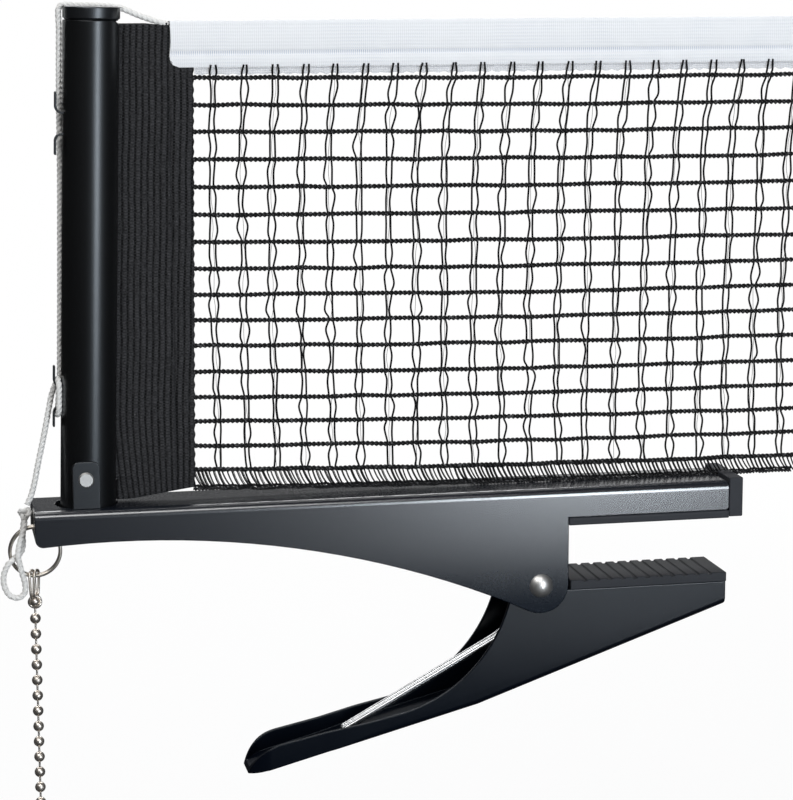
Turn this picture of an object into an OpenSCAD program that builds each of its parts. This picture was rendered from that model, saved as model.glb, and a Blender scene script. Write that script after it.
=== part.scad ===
/* [Table and jaw] */
// Length of the jaw along the table, from the throat to the tip
jaw_length = 51; // [40:1:70]
// Thickness of the table top that the rest position grips
table_t = 17.5; // [12:0.5:25]
// Thickness of the upper jaw pad under the arm
upper_pad_t = 2.4; // [1.5:0.1:4]
// Thickness of the lower jaw pad on the lever
lower_pad_t = 3; // [2:0.1:5]
// Length of the block that closes the upper jaw's end
end_block_l = 4.4; // [2:0.1:8]

/* [Arm] */
// Outer width of the arm channel
arm_w = 24; // [20:0.5:32]
// Wall of the arm and lever sheet
sheet_t = 1.5; // [1:0.1:2]
// Height of the arm's top above the table
arm_top = 11.5; // [9:0.5:16]
// Distance from the throat to the arm's outer end
arm_reach = 160.8; // [155:0.1:190]
// Outer radius of the arm's long bends
bend_r = 2.5; // [1.8:0.1:3.5]
// Radius of the ear around the pivot
ear_r = 8.6; // [8:0.1:11]
// Depth of the pivot below the table's top surface
pivot_drop = 18.4; // [17:0.1:22]
// Distance from the throat to the crest of the arm's curved belly
belly_reach = 136; // [130:0.5:140]
// Height of that crest above the table's top surface
belly_top = 1.8; // [0:0.1:4]

/* [Post] */
// Outer diameter of the post tube
post_d = 16.5; // [15:0.1:17.5]
// Wall of the post tube
post_wall = 1; // [0.8:0.1:1.5]
// Distance from the throat to the post's outer side
overhang = 152.5; // [150.5:0.5:158]
// Height of the net's top edge above the table
net_top = 152.5; // [140:0.5:160]
// Lean of the post towards the net under the cord's pull, degrees
post_lean = 1.75; // [0:0.05:2.5]
// Width of the slot that lets the net out of the tube
slot_w = 5; // [4:0.1:7]
// Height of the cap's disc
cap_h = 3.5; // [2.5:0.1:5]
// Width of the foot lugs
lug_w = 8; // [6:0.1:10]
// Height of the foot lugs
lug_h = 14; // [11:0.5:18]

/* [Net] */
// Height of the white top tape
tape_h = 13.5; // [10:0.5:16]
// Thickness of the folded tape
tape_t = 1.6; // [1:0.1:2.4]
// Thickness of the knitted end band
band_t = 1.8; // [1:0.1:2.4]
// Length of net between the end bands
net_length = 188; // [150:1:240]
// Diameter of the net's end rods
rod_d = 5; // [4:0.1:6]
// Diameter of the tension cord
cord_d = 1.6; // [1.4:0.1:1.7]

/* [Pivot and spring] */
// Diameter of the pivot rivet's shank
rivet_d = 5; // [4:0.1:6]
// Outer diameter of the spring's wire
wire_d = 2; // [1.6:0.1:2.1]
// Mean radius of the spring's coils
coil_r = 7.4; // [7:0.1:7.5]
// Distance of each handle leg from the middle
leg_y = 1.25; // [1.2:0.05:2]

/* [Ring and chain] */
// Mean radius of the split ring
ring_r = 7.4; // [6:0.1:9]
// Wire of the split ring
ring_wire = 1.1; // [0.9:0.1:1.3]
// Diameter of the chain's beads
bead_d = 3.2; // [2.4:0.1:3.6]
// Distance from bead to bead
bead_pitch = 4.75; // [4.4:0.05:5.5]
// Beads on the upper length of chain
beads_upper = 8; // [4:1:10]
// Beads on the lower length of chain
beads_lower = 14; // [6:1:16]

/* [Hidden] */
$fn = 48;
eps = 0.01;
gap = 0.3;                               // clearance between pieces that move past each other
fit = 0.05;                              // radial running clearance on the pivot

// Arm and jaw
throat_x = -jaw_length / 2;
jaw_x = jaw_length / 2;
arm_x = throat_x - arm_reach;
pivot = [throat_x - ear_r, -pivot_drop];
belly_x = throat_x - belly_reach;
belly_dx = pivot.x - belly_x;
belly_dz = belly_top - pivot.y;
// the belly's circle touches the ear's circle from outside
belly_r = (belly_dx ^ 2 + belly_dz ^ 2 - ear_r ^ 2) / (2 * (ear_r + belly_dz));
belly_c = [belly_x, belly_top - belly_r];
ear_touch_x = pivot.x + ear_r * (belly_c.x - pivot.x) / norm(belly_c - pivot);
corner_r = 2.4;
web_z = arm_top - sheet_t;
inner_w = arm_w - 2 * sheet_t;

// Lever
lever_w = inner_w - 2 * gap;
lever_inner_w = lever_w - 2 * sheet_t;
lever_top = -table_t - lower_pad_t;      // top edges of the walls under the lower pad
boss_r = 8.4;
rim_slope = 12;                          // slope of the handle's rim, degrees
hollow_r = 45.5;                         // radius of the hollow between handle and boss
hollow_touch = pivot + [-44.2, -38.4];   // where the hollow runs into the straight rim
hollow_c = hollow_touch + hollow_r * [-sin(rim_slope), cos(rim_slope)];
heel = pivot + [-19.1, -37];             // lowest corner under the pivot
tip_reach = 91.4;                        // from the pivot to the handle's tip
handle_slope = 14.7;                     // slope of the handle's web
handle_tip = [pivot.x - tip_reach,
    heel.y - (tip_reach + heel.x - pivot.x) * tan(handle_slope)];
nose_r = 14;
nose_touch = hollow_touch - 36 * [cos(rim_slope), sin(rim_slope)];
nose_c = nose_touch + nose_r * [sin(rim_slope), -cos(rim_slope)];
jaw_tip_h = 7.3;
jaw_slope = atan2(lever_top - jaw_tip_h - heel.y, jaw_x - heel.x);
web_bend_r = 2;                          // outer radius of the lever's long bends
neck = [54, 66];                         // from the pivot to the handle's narrowing, start and end
nose_w = 17.2;                           // width of the handle past the narrowing
rivet_head_r = 3.65;
rivet_head_h = 1.9;
bush_r = 3.3;

// Post
post_x = throat_x - overhang + post_d / 2;
post_r = post_d / 2;
post_h = net_top - arm_top + 0.2;        // along the tube, from the arm's top
post_foot = -1.2;                        // how far the tube goes down into the arm's slot
cap_gap = 0.5;
lug_shift = -1.2;
lug_gap = 0.15;
foot_hole_r = post_r + 0.4;
foot_slot = 1.2;                         // extra length of the arm's hole behind the tube
foot_rivet_z = 8.7;
slot_bottom = 7;
function post_axis(z) = post_x + tan(post_lean) * (z - arm_top);

// Hooks for the cord: height of each pair's middle along the tube, and half the space between bases
upper_hook_z = 111.7;
lower_hook_z = 32;
hook_t = 0.65;
hook_w = 2.2;
hook_gap = cord_d + 0.1;
hook_len = 6.4;
hook_half = 2.7;
upper_hook_y = -1.2;

// Net
band_foot_x = post_x + 31.8;
tape_x = post_axis(net_top) + 22.5;
tape_z = net_top - tape_h;
band_head_x = post_axis(tape_z) + 29.6;
net_x = band_head_x + net_length;
far_band_w = 14;
far_rod_x = net_x + 9;
band_clear = 0.6;                        // clearance of the band's foot above the arm
rod_z = 12;                              // the rod and its sleeve end above the foot rivet
hem_left = 14.7;
hem_right = 12.4;
rows = 16;
columns = 18;
row_top = [136.1, 135.2] - [1, 1] * (152.5 - net_top);
row_foot = [20.2, 17];
strand = 0.9;
function band_edge(z) =
    band_foot_x + (band_head_x - band_foot_x) * (z - hem_left) / (tape_z - hem_left);
function mix(a, b, t) = a + (b - a) * t;
// X of column j at height z, and height of row k at share t of the net's length
function column_x(j, z) = mix(band_edge(z), net_x, j / columns);
function row_z(k, t) = mix(mix(row_top[0], row_foot[0], k / (rows - 1)),
    mix(row_top[1], row_foot[1], k / (rows - 1)), t);

// Ring and chain, which hang at the arm's outer end
ring_hole_r = 2.3;
ring_top = 4.9;                          // middle of the ring's wire where it passes the end wall
ring_x = arm_x + sheet_t / 3;
ring_c = [ring_x, ring_top - ring_r];
chain_x = ring_x - 0.5;
chain_pivot_z = ring_top - 2 * ring_r;
loop_wire = 0.8;
loop_half = ring_wire + 0.5 + loop_wire / 2;
loop_lift = 1.6;                         // middle of the loops' top wire above the ring's wire
coupling_r = 2.15;
coupling_z = chain_pivot_z - 8;
link_d = 0.7;
bead_start = coupling_z - 5.1;
link_gap = 0.15;
chain_end_l = 6;

// Tension cord: from the tape over the cap
cord_over = [[-143.4, 0, 151.3], [-146, 0, 152], [-149, 0, 152.9], [-152.5, 0, 154.2],
    [-155.5, 0, 155.5], [-157.7, 0, 156.2], [-160.3, 0, 156.6], [-164.5, 0, 156.8],
    [-169, 0, 156.9], [-171.8, 0, 157], [-173.5, 0, 157], [-174.5, 0.1, 156.3],
    [-174.8, 0.2, 154.8]];
// down the tube's outer side, behind the upper hooks: height and distance behind the middle
cord_side = [[150, 0.5], [144, 0.7], [137, 0.8], [130, 0.8], [123, 0.8], [116, 0.8], [108, 0.8],
    [99, 0.7], [90, 0.8], [81, 1], [72, 1.5], [63, 2.3], [56, 3.2], [50.8, 3.65]];
function beside_post(z, y, off) =
    [post_axis(z) - sqrt(post_r ^ 2 - y ^ 2) - cord_d / 2 - 0.07 - off, y, z];
// a turn round the lower hooks and back over itself: height, distance behind the middle, lift
cord_turn = [[47.2, 3.6, 0], [44.6, 3.1, 0], [42.2, 2.5, 0], [40, 2.1, 0], [38.8, 1.4, 0],
    [38.3, 0, 0], [38.8, -1.4, 0], [40, -2.1, 0], [42.3, -2.15, 0], [44.7, -2.15, 0],
    [47, -2.1, 0], [48.3, -1.4, 0], [48.8, 0, 0], [48.6, 1.2, 0], [47.9, 2.1, 0.3],
    [46.6, 2.3, 1], [45, 2.4, 1.6], [43.2, 2.4, 2.1]];
// and straight down to the knot beside the arm's end
cord_down = [[-180.3, 2.3, 40.5], [-181.1, 2.1, 36.8], [-182.5, 1.6, 30.5], [-184.1, 1, 23.8],
    [-185.5, 0.5, 17.6], [-186.6, 0.2, 14], [-187.8, 0, 11.6]];
cord_route = concat(cord_over, [for (p = cord_side) beside_post(p.x, p.y, 0)],
    [for (p = cord_turn) beside_post(p.x, p.y, p.z)], cord_down);
// Tail: two strands astride the ring's wire, and a loop below them
knot = [-188.5, 0, 9];
tail_route = [[-188.7, -1.4, 7.2], [-188.9, -2, 5.4], [-189.5, -2.5, 3.3], [-190.4, -3, 0.6],
    [-191, -3.4, -2.6], [-190.6, -3.4, -5.6], [-189.9, -3.3, -8.6], [-189.2, -3.3, -11.6],
    [-189.4, -3.2, -14.2], [-191.3, -3, -15.7], [-193.8, -2.7, -14.8], [-195.3, -2.5, -11.8],
    [-195.2, -2.5, -8.4], [-193.9, -2.6, -5.5], [-192.6, -2.4, -4.5], [-191.5, -1.2, -3.7],
    [-189.9, 0.5, -2.8],
    [-189.2, 2, -0.8], [-189.2, 2.3, 1.9], [-189, 2.2, 4.8], [-188.7, 1.4, 7.2]];

// Spring: one wire from the arm's web through both coils and round the handle's legs
coil_y = lever_inner_w / 2 - wire_d / 2 - gap;
leg_reach = 33;                          // from the handle's tip to the spring's bend
spring_foot = handle_tip + [leg_reach, leg_reach * tan(handle_slope)
    + (sheet_t + wire_d / 2 + 0.6) / cos(handle_slope)];
spring_head = [pivot.x - 27.5, web_z - wire_d / 2 - 0.1];
spring_knee = pivot + [-11, -18.3];
foot_angle = atan2(spring_knee.y - pivot.y, spring_knee.x - pivot.x) + 360
    + acos(coil_r / norm(spring_knee - pivot));
head_angle = atan2(spring_head.y - pivot.y, spring_head.x - pivot.x) + 1080
    - acos(coil_r / norm(spring_head - pivot));
coil_steps = 19;
function on_coil(a) = pivot + coil_r * [cos(a), sin(a)];
function in_3d(p, y) = [p.x, y, p.y];
// half of the wire, on the side that s names: from the arm's web to the handle's bar
leg_dir = unit(spring_foot - spring_knee);
function spring_half(s) = concat(
    [for (t = [0, 0.25, 0.5, 0.75]) in_3d(mix(spring_head, on_coil(head_angle), t), s * coil_y)],
    [for (i = [0 : coil_steps]) in_3d(on_coil(mix(head_angle, foot_angle, i / coil_steps)),
        s * mix(coil_y, leg_y, i / coil_steps))],
    [for (t = [0.4, 0.95]) in_3d(mix(on_coil(foot_angle), spring_knee, t), s * leg_y)],
    [for (t = [0.04, 0.35, 0.7, 1]) in_3d(mix(spring_knee, spring_foot, t), s * leg_y)],
    [for (a = [30, 60]) in_3d(spring_foot + leg_y * sin(a) * leg_dir, s * leg_y * cos(a))]);
function reversed(v) = [for (i = [len(v) - 1 : -1 : 0]) v[i]];
spring_route = concat(spring_half(-1), [in_3d(spring_foot + leg_y * leg_dir, 0)],
    reversed(spring_half(1)));

// Tube swept along points, with rings turned as little as they can be
function unit(v) = v / norm(v);
function tangents(p) = [for (i = [0 : len(p) - 1])
    unit(p[min(i + 1, len(p) - 1)] - p[max(i - 1, 0)])];
function square_to(v, t) = unit(v - (v * t) * t);
function normals(t) = [for (i = 0, n = square_to([0.1, 1, 0.2], t[0]); i < len(t);
    i = i + 1, n = i < len(t) ? square_to(n, t[i]) : n) n];
module tube_along(p, d, sides) {
    t = tangents(p);
    n = normals(t);
    ends = len(p) - 1;
    points = concat([for (i = [0 : ends], k = [0 : sides - 1])
        let (a = 360 * k / sides) p[i] + d / 2 * (cos(a) * n[i] + sin(a) * cross(t[i], n[i]))],
        [p[0], p[ends]]);
    next = [for (k = [0 : sides - 1]) (k + 1) % sides];
    walls = [for (i = [0 : ends - 1], k = [0 : sides - 1], half = [0, 1])
        half == 0 ? [i * sides + k, (i + 1) * sides + k, i * sides + next[k]]
            : [i * sides + next[k], (i + 1) * sides + k, (i + 1) * sides + next[k]]];
    first = [for (k = [0 : sides - 1]) [k, next[k], len(points) - 2]];
    last = [for (k = [0 : sides - 1]) [ends * sides + next[k], ends * sides + k, len(points) - 1]];
    polyhedron(points, concat(walls, first, last));
}
// least space between two stretches of a tube that lie more than skip rings apart
function self_gap(p, d, skip) = min([for (i = [0 : len(p) - 1 - skip], j = [i + skip : len(p) - 1])
    norm(p[i] - p[j])]) - d;
echo(spring_gap = self_gap(spring_route, wire_d, 7));
echo(cord_gap = self_gap(cord_route, cord_d, 8));
echo(tail_gap = self_gap(tail_route, cord_d, 5));

// Shapes drawn in the side view, extruded across the clamp
module across(w) { rotate([90, 0, 0]) translate([0, 0, -w / 2]) linear_extrude(w) children(); }
module on_post() {
    translate([post_x, 0, arm_top]) rotate([0, post_lean, 0]) children();
}
module rod_y(r, w) { rotate([90, 0, 0]) cylinder(r = r, h = w, center = true); }
module at_pivot() { translate([pivot.x, 0, pivot.y]) children(); }

module arm_side() {
    difference() {
        polygon([[arm_x, arm_top], [jaw_x, arm_top], [jaw_x, upper_pad_t],
            [throat_x, upper_pad_t], [throat_x, pivot.y - ear_r], [arm_x, pivot.y - ear_r]]);
        translate(belly_c) circle(r = belly_r, $fn = 360);
        difference() {
            translate([ear_touch_x - 0.4, pivot.y - 2 * ear_r])
                square([3 * ear_r, 2 * ear_r - 0.4]);
            translate(pivot) circle(r = ear_r, $fn = 96);
        }
        arm_end_corner();
        for (z = [upper_pad_t, arm_top]) jaw_corner(z);
    }
}
// rounds the lower corner of the arm's outer end
module arm_end_corner() {
    low = belly_c.y + sqrt(belly_r ^ 2 - (arm_x + corner_r - belly_x) ^ 2);
    difference() {
        translate([arm_x - 1, low - 1]) square([corner_r + 1, corner_r + 1]);
        translate([arm_x + corner_r, low + corner_r]) circle(r = corner_r);
    }
}
module jaw_corner(z) {
    r = corner_r / 2;
    side = z == arm_top ? -1 : 1;
    translate([jaw_x - r, z + side * r]) difference() {
        translate([0, side > 0 ? -r - 1 : 0]) square([r + 1, r + 1]);
        circle(r = r);
    }
}
// the channel's section, rounded along both top edges
module channel_section(w, r, top, low) {
    for (s = [-1, 1]) translate([s * (w / 2 - r), top - r]) circle(r = r);
    translate([-w / 2, low]) square([w, top - r - low]);
    translate([-w / 2 + r, low]) square([w - 2 * r, top - low]);
}
module along_x(x0, x1) {
    translate([x0, 0, 0]) rotate([90, 0, 90]) linear_extrude(x1 - x0) children();
}
module arm_channel() {
    color("#23272c") difference() {
        intersection() {
            across(arm_w) arm_side();
            along_x(arm_x, jaw_x) channel_section(arm_w, bend_r, arm_top, -60);
        }
        along_x(arm_x + sheet_t, jaw_x + 1)
            channel_section(inner_w, bend_r - sheet_t, web_z, -60);
        at_pivot() rod_y(rivet_d / 2 + eps, arm_w + 1);
        translate([arm_x - 1, 0, ring_top + ring_hole_r - 1.15]) rotate([0, 90, 0])
            cylinder(r = ring_hole_r, h = sheet_t + 2);
        translate([post_x, 0, web_z - 1]) {
            cylinder(r = foot_hole_r, h = sheet_t + 2);
            translate([-foot_slot, 0, 0]) cylinder(r = foot_hole_r, h = sheet_t + 2);
            translate([-foot_slot, -foot_hole_r, 0])
                cube([foot_slot, 2 * foot_hole_r, sheet_t + 2]);
        }
    }
}
module upper_jaw_pad() {
    rib_w = inner_w - 0.2;
    color("#4a4d50") difference() {
        union() {
            translate([throat_x, -arm_w / 2 - 0.3, 0])
                cube([jaw_length, arm_w + 0.6, upper_pad_t - 0.02]);
            translate([throat_x + 0.4, -rib_w / 2, 0])
                cube([jaw_length, rib_w, web_z - 1.2]);
            translate([jaw_x + 0.02, -arm_w / 2, 0.3])
                cube([end_block_l, arm_w, arm_top + 0.7]);
        }
        // hollows moulded into the rib, open upwards
        for (i = [0 : 3]) translate([throat_x + 3 + i * (jaw_length - 4) / 4, -rib_w / 2 + 1.6, 2])
            cube([(jaw_length - 4) / 4 - 1.6, rib_w - 3.2, arm_top]);
    }
}
module pivot_rivet() {
    color("silver") at_pivot() {
        rod_y(rivet_d / 2, arm_w + 0.04);
        for (s = [-1, 1]) rotate([-90 * s, 0, 0]) translate([0, 0, arm_w / 2 + 0.02]) rivet_dome();
    }
}
module rivet_dome() {
    dome_r = (rivet_head_r ^ 2 + rivet_head_h ^ 2) / (2 * rivet_head_h);
    rotate_extrude() intersection() {
        translate([0, rivet_head_h - dome_r]) circle(r = dome_r, $fn = 96);
        square([rivet_head_r, rivet_head_h]);
    }
}
module post_bracket() {
    lug_y = post_r + lug_gap;
    color("#2b2f34") for (s = [-1, 1])
        translate([post_x + lug_shift, s * (lug_y + sheet_t / 2), arm_top + 0.02]) difference() {
            across(sheet_t) {
                translate([-lug_w / 2, 0]) square([lug_w, lug_h - 2]);
                translate([-lug_w / 2 + 2, 0]) square([lug_w - 4, lug_h]);
                for (e = [-1, 1]) translate([e * (lug_w / 2 - 2), lug_h - 2]) circle(r = 2);
            }
            translate([0, 0, foot_rivet_z]) rod_y(2.02, sheet_t + 1);
        }
}
module foot_rivet() {
    half = post_r + lug_gap + sheet_t;
    color("silver") translate([post_x + lug_shift, 0, arm_top + foot_rivet_z]) {
        rod_y(2, 2 * half + 0.04);
        for (s = [-1, 1]) rotate([-90 * s, 0, 0]) translate([0, 0, half + 0.02])
            cylinder(r1 = 2.3, r2 = 1.9, h = 0.5);
    }
}
module post_tube() {
    rivet_x = lug_shift * cos(post_lean) - foot_rivet_z * sin(post_lean);
    rivet_z = lug_shift * sin(post_lean) + foot_rivet_z * cos(post_lean);
    color("#1d1f22") on_post() difference() {
        translate([0, 0, post_foot]) cylinder(r = post_r, h = post_h - post_foot, $fn = 96);
        translate([0, 0, post_foot - 1])
            cylinder(r = post_r - post_wall, h = post_h + 4, $fn = 96);
        translate([0, -slot_w / 2, slot_bottom]) cube([post_r + 1, slot_w, post_h]);
        translate([rivet_x, 0, rivet_z]) rod_y(2.02, post_d + 1);
        slot_shoulder();
    }
}
// rounds the tube's top beside the slot
module slot_shoulder() {
    r = 2.6;
    translate([post_r - r, 0, post_h - r]) across(post_d) difference() {
        square([r + 1, r + 1]);
        circle(r = r);
    }
}
module post_cap() {
    plug_r = post_r - post_wall - 0.1;
    disc_z = post_h + cap_gap;
    color("#1d1f22") on_post() difference() {
        union() {
            translate([0, 0, disc_z]) rotate_extrude($fn = 96) {
                square([post_r - 0.6, cap_h]);
                square([post_r, cap_h - 0.6]);
                translate([post_r - 0.6, cap_h - 0.6]) circle(r = 0.6);
            }
            translate([0, 0, post_h - 5]) cylinder(r = plug_r, h = 5 + cap_gap + eps);
            translate([0, 0, post_h + 0.02]) cylinder(r = post_r - 0.5, h = cap_gap);
        }
        // groove that keeps the cord on the middle of the cap
        translate([-post_r - 1, 0, disc_z + cap_h + cord_d / 2 - 0.95]) rotate([0, 90, 0])
            cylinder(r = cord_d / 2 + 0.2, h = post_d + 2);
        // room for the net's sleeve under the cap
        translate([0, 0, post_h - 6]) cylinder(r = rod_d / 2 + 1.6, h = 5);
        translate([0, -band_t / 2 - 0.3, post_h - 6]) cube([post_r, band_t + 0.6, 6]);
    }
}
// one hook, opening upwards, with its base at z = 0 on the tube's outer side
module hook_side() {
    r = hook_gap + hook_t;
    x = -post_r - r;
    difference() {
        translate([-post_r, r]) circle(r = r);
        translate([-post_r, r]) circle(r = hook_gap);
        translate([-post_r, -1]) square([r + 1, 2 * r + 2]);
        translate([x - 1, r]) square([r + 2, r + 1]);
    }
    translate([x, r]) square([hook_t, hook_len - r - hook_t / 2]);
    translate([x + hook_t / 2, hook_len - hook_t / 2]) circle(r = hook_t / 2);
    // the foot that is welded to the tube
    translate([-post_r - 0.02, 0]) square([1, hook_t]);
}
module hook_pair(z, y) {
    color("#1d1f22") on_post() difference() {
        for (s = [0, 1]) translate([0, y, z]) mirror([0, 0, s]) translate([0, 0, hook_half])
            across(hook_w) hook_side();
        translate([0, 0, z - 20]) cylinder(r = post_r + 0.01, h = 40, $fn = 96);
    }
}
module upper_hooks() { hook_pair(upper_hook_z, upper_hook_y); }
module lower_hooks() { hook_pair(lower_hook_z, 0); }
module net_rod() {
    color("silver") on_post() translate([0, 0, rod_z])
        cylinder(r = rod_d / 2, h = post_h - 6.5 - rod_z);
}
module net_band() {
    low = arm_top + band_clear;
    slot_z = arm_top + slot_bottom + 0.4;
    beside = post_r + 0.25;
    top = net_top - 0.8;
    color("#1c1c1e") difference() {
        union() {
            across(band_t) polygon([[post_axis(slot_z) + 2.8, slot_z],
                [post_axis(slot_z) + beside, slot_z], [post_axis(low) + beside, low],
                [post_axis(low) + 10, low], [band_foot_x, hem_left], [band_edge(tape_z), tape_z],
                [tape_x - 0.52, tape_z], [tape_x - 0.3, top - 1.6], [tape_x - 6.5, top - 0.5],
                [post_axis(top) + 2.8, top]]);
            on_post() translate([0, 0, rod_z + 0.5])
                cylinder(r = rod_d / 2 + 1, h = post_h - 7 - rod_z - 0.5);
        }
        on_post() cylinder(r = rod_d / 2 + 0.05, h = post_h + 5);
    }
}
module net_mesh() {
    last = rows - 1;
    color("#151516") across(strand) difference() {
        polygon([[band_edge(row_z(last, 0)) + 0.02, row_z(last, 0) - strand / 2],
            [net_x, row_z(last, 1) - strand / 2], [net_x, tape_z - 0.02],
            [band_edge(tape_z) + 0.02, tape_z - 0.02]]);
        for (k = [0 : last], j = [0 : columns - 1]) mesh_gap(k, j);
    }
}
// one opening of the net, between rows k - 1 and k and columns j and j + 1
module mesh_gap(k, j) {
    t0 = j / columns;
    t1 = (j + 1) / columns;
    high = [for (t = [t0, t1]) k == 0 ? tape_z - 0.5 : row_z(k - 1, t) - strand / 2];
    low = [for (t = [t0, t1]) row_z(k, t) + strand / 2];
    half = strand / 2;
    polygon([[column_x(j, low[0]) + half, low[0]], [column_x(j + 1, low[1]) - half, low[1]],
        [column_x(j + 1, high[1]) - half, high[1]], [column_x(j, high[0]) + half, high[0]]]);
}
module net_hem() {
    last = rows - 1;
    drop = strand / 2 + 0.02;
    color("#151516") across(1.2) polygon([[band_foot_x + 0.1, hem_left], [net_x, hem_right],
        [net_x, row_z(last, 1) - drop], [band_edge(row_z(last, 0)) + 0.1, row_z(last, 0) - drop]]);
}
module net_tape() {
    color("white") across(tape_t) polygon([[tape_x, net_top], [tape_x - 0.5, tape_z + 0.02],
        [net_x, tape_z + 0.02], [net_x, net_top]]);
}
module far_band() {
    color("#1c1c1e") difference() {
        union() {
            translate([net_x + 0.02, -band_t / 2, hem_right])
                cube([far_band_w, band_t, net_top - 0.7 - hem_right]);
            translate([far_rod_x, 0, hem_right])
                cylinder(r = rod_d / 2 + 1, h = net_top - 0.7 - hem_right);
        }
        translate([far_rod_x, 0, hem_right - 1]) cylinder(r = rod_d / 2 + 0.05, h = net_top);
    }
}
module far_rod() {
    color("silver") translate([far_rod_x, 0, hem_right - 0.3])
        cylinder(r = rod_d / 2, h = net_top - hem_right);
}
module tension_cord() { color("white") tube_along(cord_route, cord_d, 8); }
module cord_knot() {
    color("white") translate(knot) for (turn = [[0, 0, 0], [90, 0, 35], [60, 50, 0]])
        rotate(turn) rotate_extrude() translate([1.15, 0]) circle(r = cord_d / 2, $fn = 24);
}
module lever_side() {
    difference() {
        polygon([[jaw_x, lever_top - jaw_tip_h], heel, handle_tip,
            [handle_tip.x, nose_touch.y], nose_touch, hollow_touch,
            [hollow_touch.x + 20, pivot.y + 12], [jaw_x, pivot.y + 12]]);
        translate(hollow_c) circle(r = hollow_r, $fn = 180);
        // everything over the lower pad but the boss round the pivot
        difference() {
            translate([hollow_touch.x, lever_top]) square([jaw_x + 1 - hollow_touch.x, 20]);
            translate(pivot) circle(r = boss_r, $fn = 96);
        }
        // the nose's round end
        difference() {
            translate([handle_tip.x - 1, handle_tip.y - 1])
                square([nose_touch.x - handle_tip.x + 1, 20]);
            translate(nose_c) circle(r = nose_r, $fn = 96);
        }
    }
}
// a channel's outside with rounded lower bends, run along a slope that passes through the heel
module rounded_run(slope) {
    translate([heel.x, 0, heel.y]) rotate([0, -slope, 0]) along_x(-140, 140) {
        for (s = [-1, 1]) translate([s * (lever_w / 2 - web_bend_r), web_bend_r])
            circle(r = web_bend_r);
        translate([web_bend_r - lever_w / 2, 0]) square([lever_w - 2 * web_bend_r, 90]);
        translate([-lever_w / 2, web_bend_r]) square([lever_w, 90]);
    }
}
// what the channel leaves open, above its web
module lever_hollow() {
    lift = sheet_t / cos(handle_slope);
    polygon([[jaw_x - sheet_t, 20], [jaw_x - sheet_t, lever_top - jaw_tip_h + lift],
        heel + [0, lift], handle_tip + [0, lift], [handle_tip.x, 20]]);
}
// plan of the lever: full width to the neck, then narrower to a round nose
module from_above(cut) {
    half = lever_w / 2 - cut;
    nose = nose_w / 2 - cut;
    translate([0, 0, -100]) linear_extrude(140) {
        polygon([[jaw_x - cut, -half], [jaw_x - cut, half], [pivot.x - neck[0], half],
            [pivot.x - neck[1], nose], [handle_tip.x + nose_w / 2, nose],
            [handle_tip.x + nose_w / 2, -nose], [pivot.x - neck[1], -nose],
            [pivot.x - neck[0], -half]]);
        translate([handle_tip.x + nose_w / 2, 0]) circle(r = nose, $fn = 96);
    }
}
module lever_channel() {
    color("#23272c") difference() {
        intersection() {
            across(lever_w + 2) lever_side();
            from_above(0);
            rounded_run(jaw_slope);
            rounded_run(handle_slope);
        }
        intersection() {
            across(lever_w) lever_hollow();
            from_above(sheet_t);
        }
        at_pivot() rod_y(bush_r + 0.02, lever_w + 1);
    }
}
module lower_jaw_pad() {
    pad_x = throat_x + 1;
    rib_w = lever_inner_w - 0.2;
    color("#4a4d50") difference() {
        union() {
            translate([pad_x, -lever_w / 2 - 0.6, lever_top + 0.02])
                cube([jaw_x - pad_x, lever_w + 1.2, lower_pad_t - 0.02]);
            translate([pad_x + 3, -rib_w / 2, lever_top - 4])
                cube([jaw_x - pad_x - sheet_t - 3.2, rib_w, 5]);
        }
        // shallow cross grooves that grip the table
        for (x = [pad_x + 4 : 4 : jaw_x - 3]) translate([x, -arm_w, -table_t - 0.5])
            cube([1.2, 2 * arm_w, 1]);
    }
}
module pivot_bush() {
    color("#c9c5b8") at_pivot() difference() {
        union() {
            rod_y(bush_r, lever_w + 0.2);
            rod_y(coil_r - wire_d / 2 - 1.1, lever_inner_w - 0.1);
        }
        rod_y(rivet_d / 2 + fit, lever_w + 2);
    }
}
module torsion_spring() { color("silver") tube_along(spring_route, wire_d, 6); }
module split_ring() {
    color("silver") translate([ring_c.x, 0, ring_c.y]) rotate([90, 0, 0]) {
        for (s = [-1, 1]) translate([0, 0, s * ring_wire * 0.48]) rotate_extrude($fn = 96)
            translate([ring_r, 0]) circle(r = ring_wire / 2, $fn = 24);
    }
}
module cord_tail() { color("white") tube_along(tail_route, cord_d, 8); }
// an oval of wire that stands on end, from z = low to z = high at its wire's middle
module wire_oval(half, low, high, d) {
    for (s = [-1, 1]) translate([0, s * half, low + half])
        cylinder(r = d / 2, h = high - low - 2 * half, $fn = 24);
    for (end = [0, 1]) translate([0, 0, end == 0 ? low + half : high - half])
        rotate([0, 90, 0]) rotate([0, 0, end == 0 ? -90 : 90])
            rotate_extrude(angle = 180, $fn = 48) translate([half, 0]) circle(r = d / 2, $fn = 24);
}
module chain_coupling() {
    top = chain_pivot_z + loop_lift;
    color("#b9a58c") translate([chain_x, 0, 0]) {
        for (s = [-1, 1]) translate([s * 0.75, 0, 0]) rotate([0, 0, 24])
            wire_oval(loop_half, coupling_z + coupling_r - 0.7, top, loop_wire);
        translate([0, 0, coupling_z]) sphere(r = coupling_r);
    }
}
module bead_row(z, count, from_top) {
    for (i = [0 : count - 1]) translate([0, 0, z - i * bead_pitch]) sphere(r = bead_d / 2);
    translate([0, 0, z - count * bead_pitch + bead_d / 2 + link_gap])
        cylinder(r = link_d / 2, h = count * bead_pitch - bead_d / 2 - link_gap + from_top, $fn = 24);
}
lower_start = bead_start - beads_upper * bead_pitch;
module chain_upper() {
    color("#b9a58c") translate([chain_x, 0, 0])
        bead_row(bead_start, beads_upper, coupling_z - coupling_r - bead_start - 0.02);
}
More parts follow.
